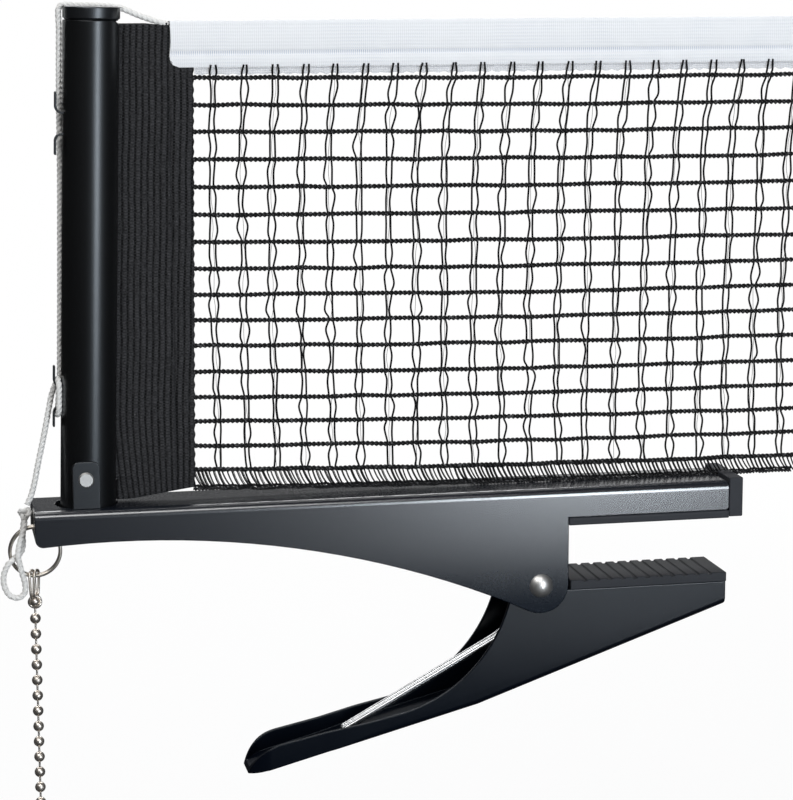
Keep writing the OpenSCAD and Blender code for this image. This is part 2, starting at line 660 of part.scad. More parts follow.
module chain_lower() {
    color("#b9a58c") translate([chain_x, 0, 0]) bead_row(lower_start, beads_lower, 0);
}
module chain_end() {
    top = lower_start - beads_lower * bead_pitch + bead_d / 2 + link_gap - 0.02;
    color("#b9a58c") translate([chain_x, 0, top - chain_end_l]) rotate_extrude() {
        square([1.3, chain_end_l]);
        translate([0, 1.2]) square([2.1, chain_end_l - 2.4]);
        for (z = [1.2, chain_end_l - 1.2]) translate([1.3, z]) circle(r = 0.8, $fn = 24);
    }
}

arm_channel();
upper_jaw_pad();
pivot_rivet();
post_bracket();
foot_rivet();
post_tube();
post_cap();
upper_hooks();
lower_hooks();
net_rod();
net_band();
net_mesh();
net_hem();
net_tape();
far_band();
far_rod();
tension_cord();
cord_knot();
lever_channel();
lower_jaw_pad();
pivot_bush();
torsion_spring();
split_ring();
cord_tail();
chain_coupling();
chain_upper();
chain_lower();
chain_end();
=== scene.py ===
import bmesh
import bpy
import random
from math import acos, atan2, cos, exp, pi, radians, sin, sqrt, tan
from mathutils import Matrix, Vector


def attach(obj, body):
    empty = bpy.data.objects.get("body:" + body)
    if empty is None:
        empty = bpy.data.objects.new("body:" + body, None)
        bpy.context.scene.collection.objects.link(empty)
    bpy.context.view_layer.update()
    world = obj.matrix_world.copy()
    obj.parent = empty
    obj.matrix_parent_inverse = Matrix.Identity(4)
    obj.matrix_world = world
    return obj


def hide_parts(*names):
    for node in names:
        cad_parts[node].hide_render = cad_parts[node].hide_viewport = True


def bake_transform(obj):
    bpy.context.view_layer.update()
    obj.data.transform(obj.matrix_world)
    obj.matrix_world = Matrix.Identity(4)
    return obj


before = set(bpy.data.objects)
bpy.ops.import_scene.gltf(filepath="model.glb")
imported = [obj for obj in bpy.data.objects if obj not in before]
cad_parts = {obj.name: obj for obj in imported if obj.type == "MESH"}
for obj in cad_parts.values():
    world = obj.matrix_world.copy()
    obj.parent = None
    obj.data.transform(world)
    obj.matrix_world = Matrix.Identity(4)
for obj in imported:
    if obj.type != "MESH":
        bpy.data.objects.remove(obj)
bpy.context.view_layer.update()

mm = 0.001


def point(x, y, z):
    return Vector((x * mm, y * mm, z * mm))


def mix(a, b, t):
    return a + (b - a) * t


def turns(count):
    # the angles of one full turn
    return [2 * pi * i / count for i in range(count)]


def smoothStep(t):
    t = min(max(t, 0), 1)
    return t * t * (3 - 2 * t)


def deselectAll():
    for obj in bpy.context.selected_objects:
        obj.select_set(False)


def primitive(add, **sizes):
    deselectAll()
    add(**sizes)
    return bpy.context.active_object


def makeActive(obj):
    deselectAll()
    obj.select_set(True)
    bpy.context.view_layer.objects.active = obj


def applyPlace(obj):
    makeActive(obj)
    bpy.ops.object.transform_apply()


def applyModifiers(obj):
    makeActive(obj)
    for item in list(obj.modifiers):
        bpy.ops.object.modifier_apply(modifier=item.name)


def addObject(name, data):
    obj = bpy.data.objects.new(name, data)
    bpy.context.scene.collection.objects.link(obj)
    return obj


def newObject(name, verts, faces, uvs=None):
    mesh = bpy.data.meshes.new(name)
    mesh.from_pydata(verts, [], faces)
    if uvs:
        layer = mesh.uv_layers.new(name="along")
        for loop in mesh.loops:
            layer.data[loop.index].uv = uvs[loop.vertex_index]
    mesh.update()
    return addObject(name, mesh)


def thicken(obj, thickness, offset):
    thick = obj.modifiers.new("thick", "SOLIDIFY")
    thick.thickness, thick.offset = thickness * mm, offset
    applyModifiers(obj)


def gridFaces(columns, wide):
    # quads between neighbouring columns of points, each column with so many points
    return [(a, a + wide, a + wide + 1, a + 1)
            for a in (i * wide + k for i in range(columns) for k in range(wide - 1))]


def joinPieces(objs, name):
    makeActive(objs[0])
    for obj in objs:
        obj.select_set(True)
    bpy.ops.object.join()
    objs[0].name = objs[0].data.name = name
    return objs[0]


def finishPiece(obj, body, look, replaced, smooth):
    # edges over the angle called smooth, in degrees, stay sharp
    obj.data.materials.clear()
    obj.data.materials.append(looks[look])
    makeActive(obj)
    bpy.ops.object.shade_smooth_by_angle(angle=radians(smooth))
    if body:
        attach(obj, body)
    if replaced:
        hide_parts(*replaced)
    return obj


cameraSet = {
    "place": (-222.8, -714.15, 164.2),
    "yaw": 11.58,  # degrees to the right of straight ahead
    "pitch": 9.77,  # degrees down
    "roll": -0.215,
    "lens": 110.25,
}


def makeCamera():
    c, data = cameraSet, bpy.data.cameras.new("camera")
    data.lens = c["lens"]
    data.sensor_width = 36
    data.clip_start, data.clip_end = 0.02, 60
    yaw, pitch, roll = (radians(c[k]) for k in ("yaw", "pitch", "roll"))
    ahead = Vector((sin(yaw) * cos(pitch), cos(yaw) * cos(pitch), -sin(pitch)))
    right = Vector((cos(yaw), -sin(yaw), 0))
    up = right.cross(ahead)
    side = cos(roll) * right + sin(roll) * up
    top = -sin(roll) * right + cos(roll) * up
    turn = Matrix((side, top, -ahead)).transposed().to_4x4()
    obj = addObject("camera", data)
    obj.matrix_world = Matrix.Translation(point(*c["place"])) @ turn
    bpy.context.scene.camera = obj


makeCamera()
print("camera placed")


class Value:
    # a socket in a material; sums, differences and products of values add Math nodes
    def __init__(self, look, socket):
        self.look, self.socket = look, socket

    def math(self, kind, *values):
        return self.look.node("Math", {"operation": kind}, dict(enumerate(values)))

    def __add__(self, other):
        return self.math("ADD", self, other)

    def __mul__(self, other):
        return self.math("MULTIPLY", self, other)

    def __sub__(self, other):
        return self.math("SUBTRACT", self, other)

    def __rsub__(self, other):
        return self.math("SUBTRACT", other, self)

    __radd__, __rmul__ = __add__, __mul__

    def wave(self, period):
        # 0 to 1 and back once every period
        return self.math("SINE", self * (2 * pi / period)) * 0.5 + 0.5

    def fraction(self):
        return self.math("FRACT", self)

    def away(self, other):
        return self.math("ABSOLUTE", self - other)

    def between(self, low, high):
        # 0 at low and under, 1 at high and over
        return self.look.node("MapRange", {"interpolation_type": "SMOOTHSTEP"},
                              {"Value": self, "From Min": low, "From Max": high})


class Look:
    # a material: values on the shader's own sockets, and nodes for what varies
    def __init__(self, name, fixed):
        self.material = bpy.data.materials.new(name)
        self.material.use_nodes = True
        self.tree = self.material.node_tree
        self.shader = self.tree.nodes["Principled BSDF"]
        for key, value in fixed.items():
            self.shader.inputs[key].default_value = value

    def node(self, kind, settings={}, values={}, out=0):
        # settings are the node's own, values are for its sockets
        made = self.tree.nodes.new("ShaderNode" + kind)
        for key, value in settings.items():
            setattr(made, key, value)
        for key, value in values.items():
            if isinstance(value, Value):
                self.tree.links.new(value.socket, made.inputs[key])
            else:
                made.inputs[key].default_value = value
        return Value(self, made.outputs[out])

    def where(self, uv):
        return self.node("TexCoord", out="UV" if uv else "Object")

    def axis(self, name, uv=False):
        # one coordinate in metres, or of the piece's own map
        return self.node("SeparateXYZ", {}, {0: self.where(uv)}, out=name)

    def noise(self, scale, detail=2, rough=0.6, stretch=(1, 1, 1), turn=(0, 0, 0), uv=False):
        place = self.node("Mapping", {}, {"Vector": self.where(uv), "Scale": stretch, "Rotation": turn})
        return self.node("TexNoise", {},
                         {"Vector": place, "Scale": scale, "Detail": detail, "Roughness": rough})

    def blend(self, share, a, b):
        return self.node("Mix", {"data_type": "RGBA"}, {0: share, 6: a, 7: b}, out=2)

    def bump(self, height, depth, strength):
        return self.node("Bump", {}, {"Height": height, "Distance": depth * mm, "Strength": strength})

    def link(self, values):
        for key, value in values.items():
            self.tree.links.new(value.socket, self.shader.inputs[key])
        return self.material

    def surface(self, base, rough, height, depth, strength):
        # depth is the relief's height in mm
        return self.link({"Base Color": base, "Roughness": rough, "Normal": self.bump(height, depth, strength)})


def colour(tone, share=1):
    return (*(share * c for c in tone), 1)


paint = {
    "each": {"coat": 1.0, "shine": 0.7, "ior": 1.5, "shadeFade": (-20, -10),  # heights between which the gloss comes in: painted shade, duller towards the bottom
             "dustTone": (0.03, 0.035, 0.042), "speck": 0.42},  # size of the coat's grain, mm
    "arm": {"tone": (0.003, 0.0052, 0.0105), "rough": 0.265, "dust": 0.5, "shine": 0.2, "ior": 2.1, "grain": 0.002,
            "shadeFade": (-27, 2)},
    # painted shade: the lever's paint is the arm's black paint made darker and duller
    "lever": {"tone": (0.0014, 0.0027, 0.0062), "rough": 0.3, "dust": 0.12, "coat": 0.8, "shine": 0.22, "grain": 0.02,
              "shadeFade": (-58, -28)},
    "post": {"tone": (0.0028, 0.0028, 0.003), "rough": 0.37, "dust": 0.03, "coat": 0.9, "shine": 0.45, "grain": 0.006,
             "shadeFade": (-75, 122)},
    "cap": {"tone": (0.003, 0.0035, 0.0045), "rough": 0.4, "dust": 0.15, "grain": 0.03},
    "bracket": {"tone": (0.005, 0.0058, 0.0075), "rough": 0.36, "dust": 0.6, "grain": 0.02},
}


def paintedSteel(name, kind):
    # a satin coat with a fine grain, a little dust and softly uneven gloss; it gets duller further down, which is
    # painted shade
    p = {**paint["each"], **paint[kind]}
    look = Look(name, {"Specular IOR Level": p["shine"], "Coat Roughness": p["rough"] - 0.03, "Coat IOR": p["ior"],
                       "Specular Tint": colour((0.8, 0.9, 1))})
    cloud = look.noise(38, 3)
    speck = look.noise(1 / (p["speck"] * mm))
    fine = look.noise(5200, 1, 0.5)
    low, high = p["shadeFade"]
    dusty = (cloud.between(0.45, 0.8) * 0.2 + speck.between(0.66, 0.8) * 0.3) * p["dust"]
    base = look.blend(dusty, colour(p["tone"]), colour(p["dustTone"]))
    return look.link({
        "Base Color": base,
        # painted shade: the coat's gloss fades out towards the bottom
        "Coat Weight": look.axis("Z").between(low * mm, high * mm) * p["coat"],
        "Roughness": cloud * 0.08 + speck * 0.08 + (p["rough"] - 0.08),
        "Normal": look.bump(speck * 0.75 + fine * 0.25, p["grain"], 0.7),
    })


def rubberPad(name, tone):
    look = Look(name, {"Specular IOR Level": 0.35})
    grain = look.noise(1900, 3, 0.7)
    cloud = look.noise(55, 3, 0.5)
    base = look.blend(cloud * 0.5 + grain * 0.3, colour(tone), colour(tone, 1.7))
    return look.surface(base, grain * 0.15 + 0.5, grain, 0.06, 0.6)


def brightMetal(name, tone, rough, dirt=(0.2, 0.18, 0.15)):
    look = Look(name, {"Metallic": 1.0})
    cloud = look.noise(160, 4, 0.65)
    lines = look.noise(900, stretch=(1, 0.12, 1), turn=(0.3, 0.2, 0.5))
    worn = cloud.between(0.42, 0.75)
    base = look.blend(worn * 0.35, colour(tone), colour([t * 0.55 + d * 0.4 for t, d in zip(tone, dirt)]))
    return look.surface(base, worn * 0.12 + lines * 0.1 + (rough - 0.06), lines, 0.03, 0.5)


def drawnWire(name, tone, rough):
    # long draw marks follow the wire through the piece's own map
    look = Look(name, {"Metallic": 1.0})
    marks = look.noise(1, 3, stretch=(26, 0.045, 1), uv=True)
    cloud = look.noise(240, 3)
    base = look.blend(cloud.between(0.4, 0.8) * 0.5, colour(tone), colour(tone, 0.55))
    return look.surface(base, marks * 0.14 + cloud * 0.1 + (rough - 0.1), marks, 0.02, 0.6)


def ropeYarn(name, tone, shade, fibre=0.35, lint=0.0, shine=0.25):
    # u runs once round each strand and v along the cord, in millimetres
    look = Look(name, {"Sheen Weight": shine, "Sheen Roughness": 0.5, "Specular IOR Level": shine})
    threads = look.noise(1, 3, 0.65, stretch=(9, 1.1, 1), turn=(0, 0, 0.5), uv=True)
    cloud = look.noise(210, 3)
    base = look.blend(threads.between(0.3, 0.75), colour(shade), colour(tone))
    base = look.blend(cloud.between(0.5, 0.85) * 0.35, base, colour(tone, 0.72))
    if lint:
        fluff = look.noise(1350).between(0.56, 0.7)
        base = look.blend(fluff * lint, base, colour((0.2, 0.2, 0.21)))
    return look.surface(base, threads * 0.2 + 0.62, threads, fibre * 0.3, 0.8)


def knitBlack(name, tone, litTone):
    # u counts the ribs and v the stitches; painted shade darkens the groove between the ribs, most beside each
    # stitch, and the crests are painted lighter as if lit
    look = Look(name, {"Sheen Weight": 0.06, "Sheen Roughness": 0.5, "Specular IOR Level": 0.2,
                       "Sheen Tint": colour((0.75, 0.8, 0.9))})
    rib, row = look.axis("X", uv=True), look.axis("Y", uv=True)
    drift = look.noise(520) - 0.5
    strong = look.noise(330)
    across = (rib + drift * 0.3).fraction().away(0.5)  # 0 on the crest of a rib and 0.5 in the groove
    stitch = (row + drift * 0.8).fraction().away(0.5)  # 0 in a stitch and 0.5 between two
    grooveShade = across.between(0.27, 0.43) * (1 - stitch.between(0.24, 0.42) * 0.75)
    grooveShade = grooveShade * (strong.between(0.3, 0.62) * 0.65 + 0.5)
    # a fainter line of painted shade between the stitches
    line = stitch.between(0.26, 0.46) * 0.34
    yarn = look.noise(1500, 3, 0.75)
    lint = look.noise(820).between(0.7, 0.78)
    dark = grooveShade.math("MAXIMUM", grooveShade, line)
    # painted light: away from the painted shade the yarn turns paler, as if lit
    lit = (1 - dark.between(0, 0.85)) * (yarn.between(0.28, 0.72) * 0.75 + strong * 0.5 + 0.12)
    base = look.blend(lit, colour(tone), colour(litTone))
    base = look.blend(lint * (1 - dark) * 0.4, base, colour((0.16, 0.16, 0.165)))
    return look.surface(base, yarn * 0.2 + 0.62, yarn * 0.8 - dark * 1.2, 0.16, 0.9)


tapeWeave = {
    "thread": 0.62,  # mm from thread to thread along the tape
    "pick": 1.0,  # mm from line to line up the tape
    "seamHeight": 143.1,  # the denser line of stitches
    "seamHalf": 0.8,
}


def tapeCloth(name, tone, shade):
    look = Look(name, {"Sheen Weight": 0.2, "Sheen Roughness": 0.4, "Specular IOR Level": 0.3})
    x, z = look.axis("X"), look.axis("Z")
    warp = x.wave(tapeWeave["thread"] * mm)
    weft = z.wave(tapeWeave["pick"] * mm)
    half = tapeWeave["seamHalf"] * mm
    seam = 1 - z.away(tapeWeave["seamHeight"] * mm).between(0.55 * half, half)
    patch = look.noise(42, 3).between(0.42, 0.62)
    dots = warp.between(0.55, 0.95) * weft.between(0.5, 0.9)
    fuzz = look.noise(2600)
    dark = dots * patch * 0.34 + warp.between(0.5, 0.9) * seam * 0.5 + fuzz * 0.06
    base = look.blend(dark, colour(tone), colour(shade))
    return look.surface(base, fuzz * 0.15 + 0.6, warp * 0.5 + weft * 0.5 + fuzz * 0.5 - seam * 0.9, 0.09, 0.7)


def gauze(name, tone):
    look = Look(name, {"Sheen Weight": 0.2, "Specular IOR Level": 0.2, "Roughness": 0.7})
    x, z = look.axis("X"), look.axis("Z")
    threads = x.wave(0.5 * mm).between(0.45, 0.8)
    lines = z.wave(0.62 * mm).between(0.55, 0.85)
    cover = threads.math("MAXIMUM", threads, lines)
    shade = look.noise(900, 2, 0.5)
    base = look.blend(shade, colour(tone), colour(tone, 0.82))
    return look.link({"Base Color": base, "Alpha": cover * 0.5 + 0.3,
                      "Normal": look.bump(threads + lines, 0.05, 0.6)})


looks = {
    "steel": paintedSteel("blackSteel", "arm"),
    # the lever's look is the black paint darkened as painted shade
    "lever": paintedSteel("shadedBlackLever", "lever"),
    "post": paintedSteel("blackPost", "post"),
    "bracket": paintedSteel("blackBracket", "bracket"),
    "cap": paintedSteel("capPlastic", "cap"),
    "pad": rubberPad("padRubber", (0.02, 0.022, 0.027)),
    "nickel": brightMetal("nickelRivet", (0.88, 0.87, 0.85), 0.42),
    "rod": brightMetal("zincRod", (0.6, 0.6, 0.6), 0.34),
    "bush": brightMetal("bushBronze", (0.5, 0.38, 0.22), 0.4),
    "ring": brightMetal("ringNickel", (0.82, 0.76, 0.68), 0.34),
    "chain": brightMetal("chainNickel", (0.95, 0.88, 0.8), 0.4, dirt=(0.12, 0.08, 0.05)),
    "spring": drawnWire("springWire", (0.55, 0.56, 0.57), 0.24),
    "cord": ropeYarn("cordWhite", (0.95, 0.945, 0.93), (0.72, 0.71, 0.68)),
    "net": ropeYarn("netBlack", (0.007, 0.0072, 0.009), (0.002, 0.002, 0.0025), 0.35, 0.0, 0.1),
    "netCord": ropeYarn("netCordBlack", (0.009, 0.0095, 0.011), (0.002, 0.002, 0.0025), 0.5, 0.75, 0.12),
    "knit": knitBlack("bandKnit", (0.0006, 0.0006, 0.0008), (0.045, 0.045, 0.048)),
    "tape": tapeCloth("tapeWhite", (0.89, 0.9, 0.915), (0.36, 0.42, 0.56)),
    "fringe": gauze("tapeGauze", (0.8, 0.82, 0.86)),
}
print("materials made:", len(looks))


def lengthOf(route):
    return sum((q - p).length for p, q in zip(route, route[1:]))


def smoothRoute(points, step):
    # a curve through the points, cut into steps of about one length
    points = [Vector(p) for p in points]
    fine = []
    for i in range(len(points) - 1):
        a, b = points[i], points[i + 1]
        before = points[i - 1] if i else a - (b - a)
        after = points[i + 2] if i + 2 < len(points) else b + (b - a)
        cuts = max(2, int((b - a).length / step * 3))
        for k in range(cuts):
            t = k / cuts
            fine.append(0.5 * ((2 * a) + (b - before) * t + (2 * before - 5 * a + 4 * b - after) * t * t
                               + (3 * a - before - 3 * b + after) * t ** 3))
    fine.append(points[-1])
    gaps = [(q - p).length for p, q in zip(fine, fine[1:])]
    whole = sum(gaps)
    count = max(2, round(whole / step))
    route, walked, k = [fine[0]], 0.0, 0
    for i in range(1, count):
        want = whole * i / count
        while walked + gaps[k] < want:
            walked += gaps[k]
            k += 1
        route.append(fine[k].lerp(fine[k + 1], (want - walked) / gaps[k]))
    return route + [fine[-1]]


def sweep(verts, faces, uvs, points, radius, sides, lobes=0, depth=0.0, pitch=1.0, closed=False):
    # adds a tube along the points, in millimetres; lobes are the strands of a twisted cord
    first, count = len(verts), len(points)
    normal, before, walked = None, None, 0.0
    for i, p in enumerate(points):
        a = points[i - 1] if i or closed else p
        b = points[(i + 1) % count] if i + 1 < count or closed else p
        ahead = (b - a).normalized()
        if normal is None:
            normal = ahead.orthogonal().normalized()
        else:
            normal = (normal - ahead * normal.dot(ahead)).normalized()
            walked += (p - before).length
        before = p
        other = ahead.cross(normal)
        for k in range(sides):
            turn, far = 2 * pi * k / sides, radius
            if lobes:
                turn += 2 * pi * walked / pitch
                far *= 1 - depth * (2 * (k / sides * lobes % 1) - 1) ** 2
            verts.append((p + (normal * cos(turn) + other * sin(turn)) * far) * mm)
            uvs.append((k / sides * max(lobes, 1), walked))
    for i in range(count if closed else count - 1):
        low, high = first + i * sides, first + (i + 1) % count * sides
        for k in range(sides):
            after = (k + 1) % sides
            faces.append((low + k, low + after, high + after, high + k))
    if not closed:
        faces.append(tuple(range(first + sides - 1, first - 1, -1)))
        faces.append(tuple(range(first + (count - 1) * sides, first + count * sides)))


def tubes(name, runs):
    # one object out of many swept runs
    verts, faces, uvs = [], [], []
    for points, settings in runs:
        sweep(verts, faces, uvs, points, **settings)
    return newObject(name, verts, faces, uvs)


# places that the pieces share, in millimetres
postAxisX, postFoot, postTilt, postRadius = -169.75, 11.5, tan(radians(1.75)), 8.25
netEnd = 51.75


def postAxis(z):
    return postAxisX + postTilt * (z - postFoot)


cordSet = {
    "diameter": 1.6,
    "strands": 3,
    "lay": 4.6,  # length of one twist
    "depth": 0.28,  # how deep the strands are parted
    "fluffy": 1.16,  # the yarn stands out beyond the cord's nominal size
    "step": 0.3,
    "over": [(-143.4, 0, 151.3), (-146, 0, 152), (-149, 0, 152.9), (-152.5, 0, 154.2), (-155.5, 0, 155.5),
             (-157.7, 0, 156.2), (-160.3, 0, 156.6), (-164.5, 0, 156.8), (-169, 0, 156.9), (-171.8, 0, 157),
             (-173.5, 0, 157), (-174.5, 0.1, 156.3), (-174.8, 0.2, 154.8)],
    # beside the post: height, place across, and how far out it lies
    "side": [(150, 0.5), (144, 0.7), (137, 1.1), (130, 1.7), (123, 2.3), (116, 2.8), (108, 3.2), (99, 3.4),
             (90, 3.5), (81, 3.6), (72, 3.65), (63, 3.65), (56, 3.65), (50.8, 3.65)],
    "turn": [(47.2, 3.6, 0), (44.6, 3.1, 0), (42.2, 2.5, 0), (40, 2.1, 0), (38.8, 1.4, 0), (38.3, 0, 0),
             (38.8, -1.4, 0), (40, -2.1, 0), (42.3, -2.15, 0), (44.7, -2.15, 0), (47, -2.1, 0),
             (48.3, -1.4, 0), (48.8, 0, 0), (48.6, 1.2, 0), (47.9, 2.1, 0.3), (46.6, 2.3, 1),
             (45, 2.4, 1.6), (43.2, 2.4, 2.1)],
    "down": [(-180.3, 2.3, 40.5), (-181.1, 2.1, 36.8), (-182.5, 1.6, 30.5), (-184.1, 1, 23.8),
             (-185.5, 0.5, 17.6), (-186.6, 0.2, 14), (-187.8, 0, 11.6)],
    "tail": [(-188.7, -1.4, 7.2), (-188.9, -2, 5.4), (-189.5, -2.5, 3.3), (-190.4, -3, 0.6),
             (-191, -3.4, -2.6), (-190.6, -3.4, -5.6), (-189.9, -3.3, -8.6), (-189.2, -3.3, -11.6),
             (-189.4, -3.2, -14.2), (-191.3, -3, -15.7), (-193.8, -2.7, -14.8), (-195.3, -2.5, -11.8),
             (-195.2, -2.5, -8.4), (-193.9, -2.6, -5.5), (-192.6, -2.4, -4.5), (-191.5, -1.2, -3.7),
             (-189.9, 0.5, -2.8), (-189.2, 2, -0.8), (-189.2, 2.3, 1.9), (-189, 2.2, 4.8),
             (-188.7, 1.4, 7.2)],
    "knot": (-188.5, 0, 9),
    "knotSize": 0.52,
    "knotYarn": 0.78,  # radius of the cord where the knot pulls it tight
    "knotLay": 4.4,
}


def besidePost(z, y, lift=0):
    r = cordSet["diameter"] / 2 * cordSet["fluffy"]
    return (postAxis(z) - sqrt(postRadius ** 2 - y ** 2) - r - 0.02 - lift, y, z)


def makeCords():
    c = cordSet
    twist = {"radius": c["diameter"] / 2 * c["fluffy"], "sides": 12, "lobes": c["strands"],
             "depth": c["depth"], "pitch": c["lay"]}
    beside = [besidePost(*p) for p in c["side"] + c["turn"]]
    route = smoothRoute(c["over"] + beside + c["down"], c["step"])
    tension = tubes("tension_cord_twisted", [(route, twist)])
    finishPiece(tension, "frame", "cord", ["tension_cord"], 80)
    loop = []
    for t in turns(90):
        flat = Vector((sin(t) + 2 * sin(2 * t), -1.25 * sin(3 * t), cos(t) - 2 * cos(2 * t)))
        loop.append(Vector(c["knot"]) + flat * c["knotSize"])
    tight = dict(twist, closed=True, pitch=c["knotLay"], radius=c["knotYarn"])
    knot = tubes("cord_knot_tied", [(loop, tight)])
    finishPiece(knot, "frame", "cord", ["cord_knot"], 80)
    tailRoute = smoothRoute(c["tail"], c["step"])
    tail = tubes("cord_tail_twisted", [(tailRoute, twist)])
    finishPiece(tail, None, "cord", ["cord_tail"], 80)
    point(-189, 0, 7.5)
    point(-189, 0, -2)
    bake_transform(tail)
    print("cords made, mm long:", round(lengthOf(route), 1), round(lengthOf(tailRoute), 1))
    metres = [[tuple(p * mm) for p in line] for line in (route, tailRoute)]
    point(-143.4, 0, 151.3)
    point(-188.7, -1.4, 7.2)


makeCords()


springSet = {
    "wire": 2.0,
    "coil": 7.4,  # mean radius of the coils
    "pivot": (-34.1, -18.4),
    "apart": 1.25,  # each handle leg from the middle
    "coilSide": 5.9,  # start of each coil from the middle
    "head": (-61.6, 8.9),
    "knee": (-45.1, -36.7),
    "tipReach": 91.4,
    "slope": 14.7,
    "legReach": 33,  # from the tip to the legs' end
    "heel": (-53.2, -55.4),
    "overHandle": 2.1,  # the handle's sheet and the gap over it
}


def springHalf(side, steps=110):
    s = springSet
    pivot, head, knee = Vector(s["pivot"]), Vector(s["head"]), Vector(s["knee"])
    slope = radians(s["slope"])
    rise = tan(slope)
    tip = Vector((pivot.x - s["tipReach"], s["heel"][1] - (s["tipReach"] + s["heel"][0] - pivot.x) * rise))
    foot = tip + Vector((s["legReach"], s["legReach"] * rise + (s["overHandle"] + s["wire"] / 2) / cos(slope)))
    kneeAway, headAway = knee - pivot, head - pivot
    footAngle = atan2(kneeAway.y, kneeAway.x) + 2 * pi + acos(s["coil"] / kneeAway.length)
    headAngle = atan2(headAway.y, headAway.x) + 6 * pi - acos(s["coil"] / headAway.length)

    def onCoil(angle):
        return pivot + s["coil"] * Vector((cos(angle), sin(angle)))

    def in3d(p, y):
        return Vector((p.x, y, p.y))

    run = [in3d(head.lerp(onCoil(headAngle), t), side * s["coilSide"]) for t in (0, 0.25, 0.5, 0.75)]
    for i in range(steps + 1):
        t = i / steps
        run.append(in3d(onCoil(mix(headAngle, footAngle, t)), side * mix(s["coilSide"], s["apart"], t)))
    run += [in3d(onCoil(footAngle).lerp(knee, t), side * s["apart"]) for t in (0.4, 0.9)]
    run += [in3d(knee.lerp(foot, t), side * s["apart"]) for t in (0.04, 0.35, 0.7, 1)]
    ahead = (foot - knee).normalized()
    for degrees in (30, 60):
        a = radians(degrees)
        run.append(in3d(foot + s["apart"] * sin(a) * ahead, side * s["apart"] * cos(a)))
    return run, in3d(foot + s["apart"] * ahead, 0)


def makeSpring():
    left, bend = springHalf(-1)
    right, _ = springHalf(1)
    route = smoothRoute(left + [bend] + right[::-1], 0.55)
    spring = tubes("torsion_spring_wire", [(route, {"radius": springSet["wire"] / 2, "sides": 18})])
    finishPiece(spring, None, "spring", ["torsion_spring"], 60)
    point(-34, 0, -9)
    point(-34, 0, -27)
    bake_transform(spring)
    print("spring made")


ringSet = {
    "middle": (-185.8, 0, -2.5),
    "radius": 7.4,
    "wire": 1.06,
    "start": 205,  # degrees
    "turns": 1.94,
    "apart": 1.07,  # between the two turns
    "step": (0.44, 0.56),  # where along the wire it steps from one turn to the other
}


def makeRing():
    # one wire wound nearly twice, with a step from one turn to the other
    r, steps, route = ringSet, 190, []
    first, last = r["step"]
    for i in range(steps + 1):
        t = i / steps
        angle = radians(r["start"]) + 2 * pi * r["turns"] * t
        side = mix(-0.5, 0.5, smoothStep((t - first) / (last - first))) * r["apart"]
        route.append(Vector(r["middle"]) + Vector((cos(angle), 0, sin(angle))) * r["radius"]
                     + Vector((0, side, 0)))
    ring = tubes("split_ring_wound", [(route, {"radius": r["wire"] / 2, "sides": 14})])
    finishPiece(ring, "ring", "ring", ["split_ring"], 60)


chainSet = {
    "x": -186.3,
    "bead": 3.2,
    "pitch": 4.75,
    "first": -23.0,
    "upper": 8,
    "lower": 14,
    "link": 0.62,
    "coupling": -17.9,
    "couplingRadius": 2.15,
    "loopTop": -8.3,
    "loopHalf": 2.0,
    "loopWire": 0.8,
    "loopTurn": 24,  # degrees
    "loopLean": (0.75, 0.35),  # each loop from the middle at its top and at its foot
    "eye": 1.72,
    "eyeWire": 0.43,
    "eyeBead": 0.86,  # its bead is smaller than the chain's
    "clasp": 6,  # its length
    "claspBlank": 1.3,  # radius of the cylinder it is made from
    "claspCuts": (0.12, 0.2, 0.32, 0.68, 0.8, 0.88),  # shares of its length
    "claspWide": {0.1: 1.1, 0.15: 1.55, 0.25: 1.95, 0.5: 2.1},  # radius up to that share from either end
}


def makeBead():
    # a ball with a small rolled hole at each end
    radius = chainSet["bead"] / 2 * mm
    bead = primitive(bpy.ops.mesh.primitive_uv_sphere_add, segments=20, ring_count=14, radius=radius)
    bpy.ops.object.mode_set(mode="EDIT")
    for end in (1, -1):
        bpy.ops.mesh.select_all(action="DESELECT")
        mesh = bmesh.from_edit_mesh(bead.data)
        for v in mesh.verts:
            v.select = v.co.z * end > radius * 0.999
        mesh.select_flush_mode()
        bmesh.update_edit_mesh(bead.data)
        bpy.ops.mesh.dissolve_verts()
        mesh = bmesh.from_edit_mesh(bead.data)
        for face in mesh.faces:
            face.select = face.calc_center_median().z * end > radius * 0.93 and len(face.verts) > 4
        bmesh.update_edit_mesh(bead.data)
        bpy.ops.mesh.inset(thickness=0.04 * mm)
        bpy.ops.mesh.extrude_region_move(TRANSFORM_OT_translate={"value": (0, 0, -end * 0.45 * mm)})
        bpy.ops.transform.resize(value=(0.8, 0.8, 1))
    bpy.ops.object.mode_set(mode="OBJECT")
    return bead


def linkPin(top, low):
    # a link between two beads is a thin pin
    pin = primitive(bpy.ops.mesh.primitive_cylinder_add, vertices=10, radius=chainSet["link"] / 2 * mm,
                    depth=(top - low) * mm, location=point(chainSet["x"], 0, (top + low) / 2))
    applyPlace(pin)
    return pin


def makeChain():
    c = chainSet
    bead = makeBead()
    for part, body, first, count in (("upper", "chain_top", 0, c["upper"]),
                                     ("lower", "chain_low", c["upper"], c["lower"])):
        start = c["first"] - first * c["pitch"]
        made = []
        for i in range(count):
            z = start - i * c["pitch"]
            made.append(addObject("bead", bead.data.copy()))
            made[-1].location = point(c["x"], 0, z)
            # the last pin stops short of the next length
            short = -0.35 if i < count - 1 else 0.15
            made.append(linkPin(z - c["bead"] / 2 + 0.4, z - c["pitch"] + c["bead"] / 2 + short))
        if part == "upper":
            made.append(linkPin(c["coupling"] - c["couplingRadius"] + 0.1, start + c["bead"] / 2 - 0.4))
        beads = joinPieces(made, "chain_" + part + "_beads")
        applyPlace(beads)
        finishPiece(beads, body, "chain", ["chain_" + part], 50)
    bpy.data.objects.remove(bead)


